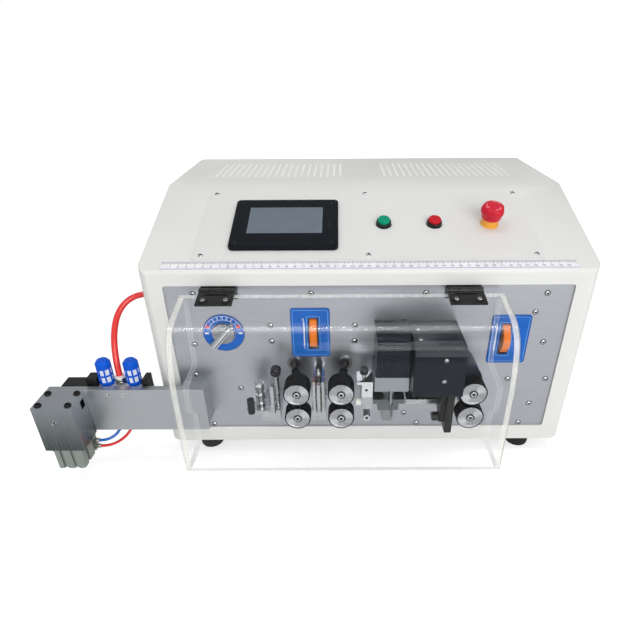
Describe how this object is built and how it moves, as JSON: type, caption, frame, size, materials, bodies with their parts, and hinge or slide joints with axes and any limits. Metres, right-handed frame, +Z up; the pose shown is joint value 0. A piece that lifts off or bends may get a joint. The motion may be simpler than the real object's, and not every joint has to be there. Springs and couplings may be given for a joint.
{
  "type": "wire cutting stripping machine",
  "caption": "Bench-top machine that feeds, cuts and strips wire: steel cabinet with a sloping control face, a clear hinged cover over feed rollers and blades, an infeed arm and an air clamp.",
  "frame": {"origin": "middle of the machine's footprint box, on the plane its feet stand on", "axes": "+Z up, the front with the clear cover faces -Y, +X is to the machine's right, the way the wire is fed"},
  "size_m": [0.697, 0.463, 0.3466],
  "materials": {
    "cabinet_white": "satin powder coat",
    "panel_white": "satin",
    "foot_rubber": "matte",
    "screw_steel": "bright",
    "bezel_black": "gloss",
    "screen_glass": "gloss",
    "black_plastic": "matte",
    "estop_yellow": "gloss",
    "plate_aluminium": "brushed",
    "print_blue": "satin",
    "guide_steel": "satin",
    "hood_black": "semi-gloss",
    "arm_aluminium": "satin",
    "clamp_steel": "polished",
    "cylinder_aluminium": "anodised",
    "valve_aluminium": "satin",
    "silencer_blue": "satin",
    "fitting_brass": "nickel-plated",
    "tube_red": "gloss",
    "tube_blue": "gloss",
    "bush_steel": "satin",
    "motor_black": "satin",
    "case_aluminium": "satin",
    "board_green": "matte",
    "clear_acrylic": "clear",
    "knob_chrome": "polished",
    "wheel_orange": "satin",
    "start_green": "gloss",
    "stop_red": "gloss",
    "estop_red": "gloss",
    "blade_aluminium": "satin",
    "hub_aluminium": "turned",
    "tyre_black": "matte"
  },
  "bodies": {
    "machine": {"cabinet_shell": "cabinet_white", "base_plate": "cabinet_white", "rear_panel": "cabinet_white", "feet": "foot_rubber", "control_panel": "panel_white", "plate_screws": "screw_steel", "display_bezel": "bezel_black", "display_glass": "screen_glass", "button_bezels": "black_plastic", "estop_collar": "estop_yellow", "front_plate": "plate_aluminium", "fixed_hinge_leaves": "black_plastic", "scale_plates": "print_blue", "wire_guides": "guide_steel", "blade_guide": "blade_aluminium", "blade_cover": "hood_black", "outfeed_housing": "hood_black", "blade_rail": "guide_steel", "outlet_guide": "hood_black", "infeed_arm": "arm_aluminium", "clamp_body": "clamp_steel", "clamp_cylinder": "cylinder_aluminium", "valve_body": "valve_aluminium", "valve_coil": "black_plastic", "silencers": "silencer_blue", "air_fittings": "fitting_brass", "supply_tube": "tube_red", "tube_blue": "tube_blue", "tube_red": "tube_red", "shaft_bearings": "bush_steel", "drive_motors": "motor_black", "power_supply": "case_aluminium", "control_board": "board_green", "power_inlet": "black_plastic"},
    "cover": {"front_cover": "clear_acrylic", "moving_hinge_leaves": "black_plastic"},
    "dial": {"dial_knob": "knob_chrome"},
    "feed_wheel": {"feed_wheel": "wheel_orange"},
    "outfeed_wheel": {"outfeed_wheel": "wheel_orange"},
    "start_button": {"start_button": "start_green"},
    "stop_button": {"stop_button": "stop_red"},
    "estop_stem": {"estop_stem": "black_plastic"},
    "estop_head": {"estop_head": "estop_red"},
    "clamp_jaw": {"clamp_jaw": "guide_steel"},
    "upper_blade": {"upper_blade": "blade_aluminium"},
    "lower_blade": {"lower_blade": "blade_aluminium"},
    "lower_roller_1": {"lower_hub_1": "hub_aluminium", "lower_tyre_1": "tyre_black"},
    "upper_roller_1": {"upper_hub_1": "hub_aluminium", "upper_tyre_1": "tyre_black"},
    "lower_roller_2": {"lower_hub_2": "hub_aluminium", "lower_tyre_2": "tyre_black"},
    "upper_roller_2": {"upper_hub_2": "hub_aluminium", "upper_tyre_2": "tyre_black"},
    "drive_shaft_1": {"drive_shaft_1": "bush_steel"},
    "drive_shaft_2": {"drive_shaft_2": "bush_steel"},
    "outfeed_lower": {"outfeed_hub_lower": "hub_aluminium", "outfeed_tyre_lower": "tyre_black"},
    "outfeed_upper": {"outfeed_hub_upper": "hub_aluminium", "outfeed_tyre_upper": "tyre_black"}
  },
  "joints": [
    {"name": "cover_hinge", "type": "hinge", "parent": "machine", "child": "cover", "pos_m": [0.036, -0.145, 0.262], "axis": [-1, 0, 0], "range_deg": [0, 100]},
    {"name": "dial_turn", "type": "hinge", "parent": "machine", "child": "dial", "pos_m": [-0.1155, -0.1353, 0.199], "axis": [0, 1, 0], "range_deg": [-130, 50]},
    {"name": "feed_wheel_turn", "type": "hinge", "parent": "machine", "child": "feed_wheel", "pos_m": [-0.001, -0.1223, 0.1975], "axis": [1, 0, 0], "range_deg": [-180, 180]},
    {"name": "outfeed_wheel_turn", "type": "hinge", "parent": "machine", "child": "outfeed_wheel", "pos_m": [0.2445, -0.1223, 0.188], "axis": [1, 0, 0], "range_deg": [-180, 180]},
    {"name": "start_press", "type": "slide", "parent": "machine", "child": "start_button", "axis": [0, 0.342, -0.9397], "range_m": [0, 0.0025], "stiffness_N_per_m": 300, "springref_m": -0.003},
    {"name": "stop_press", "type": "slide", "parent": "machine", "child": "stop_button", "axis": [0, 0.342, -0.9397], "range_m": [0, 0.0025], "stiffness_N_per_m": 300, "springref_m": -0.003},
    {"name": "estop_press", "type": "slide", "parent": "machine", "child": "estop_stem", "axis": [0, 0.342, -0.9397], "range_m": [0, 0.004], "stiffness_N_per_m": 800, "springref_m": -0.004},
    {"name": "estop_twist", "type": "hinge", "parent": "estop_stem", "child": "estop_head", "pos_m": [0.2285, -0.05481, 0.3141], "axis": [0, 0.342, -0.9397], "range_deg": [0, 45]},
    {"name": "jaw_lift", "type": "slide", "parent": "machine", "child": "clamp_jaw", "axis": [0, 0, 1], "range_m": [0, 0.006]},
    {"name": "upper_blade_feed", "type": "slide", "parent": "machine", "child": "upper_blade", "axis": [0, 0, -1], "range_m": [0, 0.0065]},
    {"name": "lower_blade_feed", "type": "slide", "parent": "machine", "child": "lower_blade", "axis": [0, 0, 1], "range_m": [0, 0.0065]},
    {"name": "lower_roller_1_spin", "type": "hinge", "parent": "machine", "child": "lower_roller_1", "pos_m": [-0.0218, -0.1873, 0.1015], "axis": [0, 1, 0], "continuous": true},
    {"name": "upper_roller_1_spin", "type": "hinge", "parent": "machine", "child": "upper_roller_1", "pos_m": [-0.0218, -0.1873, 0.1385], "axis": [0, 1, 0], "continuous": true},
    {"name": "lower_roller_2_spin", "type": "hinge", "parent": "machine", "child": "lower_roller_2", "pos_m": [0.0339, -0.1873, 0.1015], "axis": [0, 1, 0], "continuous": true},
    {"name": "upper_roller_2_spin", "type": "hinge", "parent": "machine", "child": "upper_roller_2", "pos_m": [0.0339, -0.1873, 0.1385], "axis": [0, 1, 0], "continuous": true},
    {"name": "drive_shaft_1_spin", "type": "hinge", "parent": "machine", "child": "drive_shaft_1", "pos_m": [-0.0218, -0.1593, 0.1385], "axis": [-0.2265, 0.7926, 0.5661], "continuous": true},
    {"name": "drive_shaft_2_spin", "type": "hinge", "parent": "machine", "child": "drive_shaft_2", "pos_m": [0.0339, -0.1593, 0.1385], "axis": [0.2265, 0.7926, 0.5661], "continuous": true},
    {"name": "outfeed_lower_spin", "type": "hinge", "parent": "machine", "child": "outfeed_lower", "pos_m": [0.199, -0.1873, 0.1015], "axis": [0, 1, 0], "continuous": true},
    {"name": "outfeed_upper_spin", "type": "hinge", "parent": "machine", "child": "outfeed_upper", "pos_m": [0.199, -0.1873, 0.1385], "axis": [0, 1, 0], "continuous": true}
  ],
  "couplings": [
    {"joint": "lower_blade_feed", "follows": "upper_blade_feed", "ratio": 1},
    {"joint": "upper_roller_1_spin", "follows": "lower_roller_1_spin", "ratio": -1},
    {"joint": "lower_roller_2_spin", "follows": "lower_roller_1_spin", "ratio": 1},
    {"joint": "upper_roller_2_spin", "follows": "lower_roller_1_spin", "ratio": -1},
    {"joint": "drive_shaft_1_spin", "follows": "lower_roller_1_spin", "ratio": -1},
    {"joint": "drive_shaft_2_spin", "follows": "lower_roller_1_spin", "ratio": -1},
    {"joint": "outfeed_upper_spin", "follows": "outfeed_lower_spin", "ratio": -1}
  ]
}
